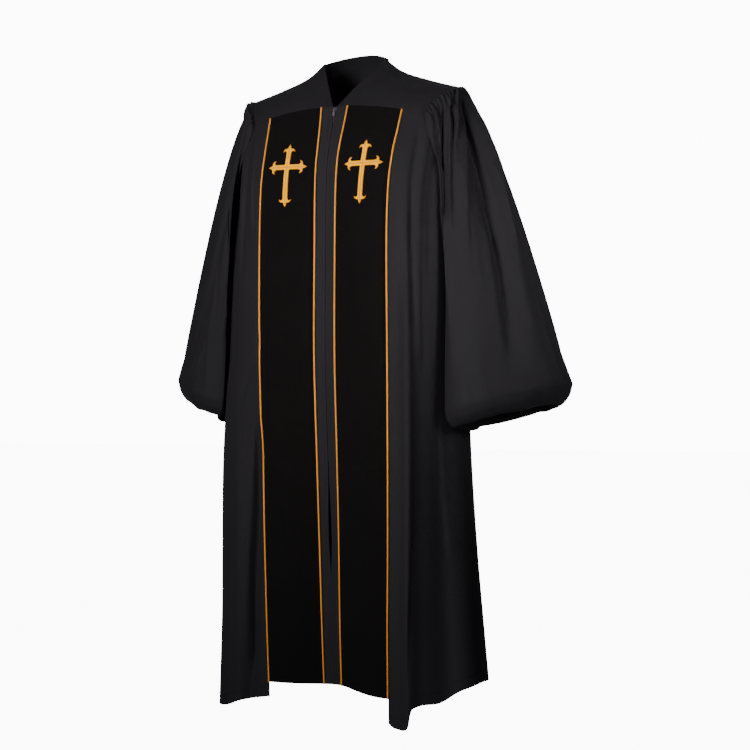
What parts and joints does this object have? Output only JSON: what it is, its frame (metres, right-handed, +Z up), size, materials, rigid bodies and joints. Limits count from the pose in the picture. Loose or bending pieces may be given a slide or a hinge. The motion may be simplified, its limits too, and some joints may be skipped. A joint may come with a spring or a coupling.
{
  "type": "clergy robe",
  "caption": "Long open-front pulpit robe with bell sleeves, gathered yoke, velvet front panels, gold piping, embroidered crosses and a concealed front zip.",
  "frame": {"origin": "middle of the neck, level with the side-neck points, where the wearer's shoulders hold the robe up", "axes": "+Z up, -Y the way the wearer faces, +X the wearer's left"},
  "size_m": [0.8944, 0.2891, 1.3647],
  "materials": {
    "robe_cloth": "plain weave with a faint violet-grey sheen",
    "velvet": "matte black velvet",
    "gold_trim": "satin gold thread",
    "zip_tape": "matte woven tape",
    "zip_metal": "satin"
  },
  "bodies": {
    "robe": {"placket_left": "robe_cloth", "velvet_panel_left": "velvet", "front_side_left": "robe_cloth", "front_yoke_left": "robe_cloth", "sleeve_left": "robe_cloth", "piping_outer_left": "gold_trim", "piping_inner_left": "gold_trim", "cross_left": "gold_trim", "zip_tape_left": "zip_tape", "placket_right": "robe_cloth", "velvet_panel_right": "velvet", "front_side_right": "robe_cloth", "front_yoke_right": "robe_cloth", "sleeve_right": "robe_cloth", "piping_outer_right": "gold_trim", "piping_inner_right": "gold_trim", "cross_right": "gold_trim", "zip_tape_right": "zip_tape", "back_body": "robe_cloth", "back_yoke": "robe_cloth", "zip_slider": "zip_metal"},
    "pull": {"zip_pull": "zip_metal"}
  },
  "joints": [
    {"name": "pull_swing", "type": "hinge", "parent": "robe", "child": "pull", "pos_m": [0, -0.08941, -0.10902], "axis": [-1, 0, 0], "range_deg": [0, 150]}
  ]
}
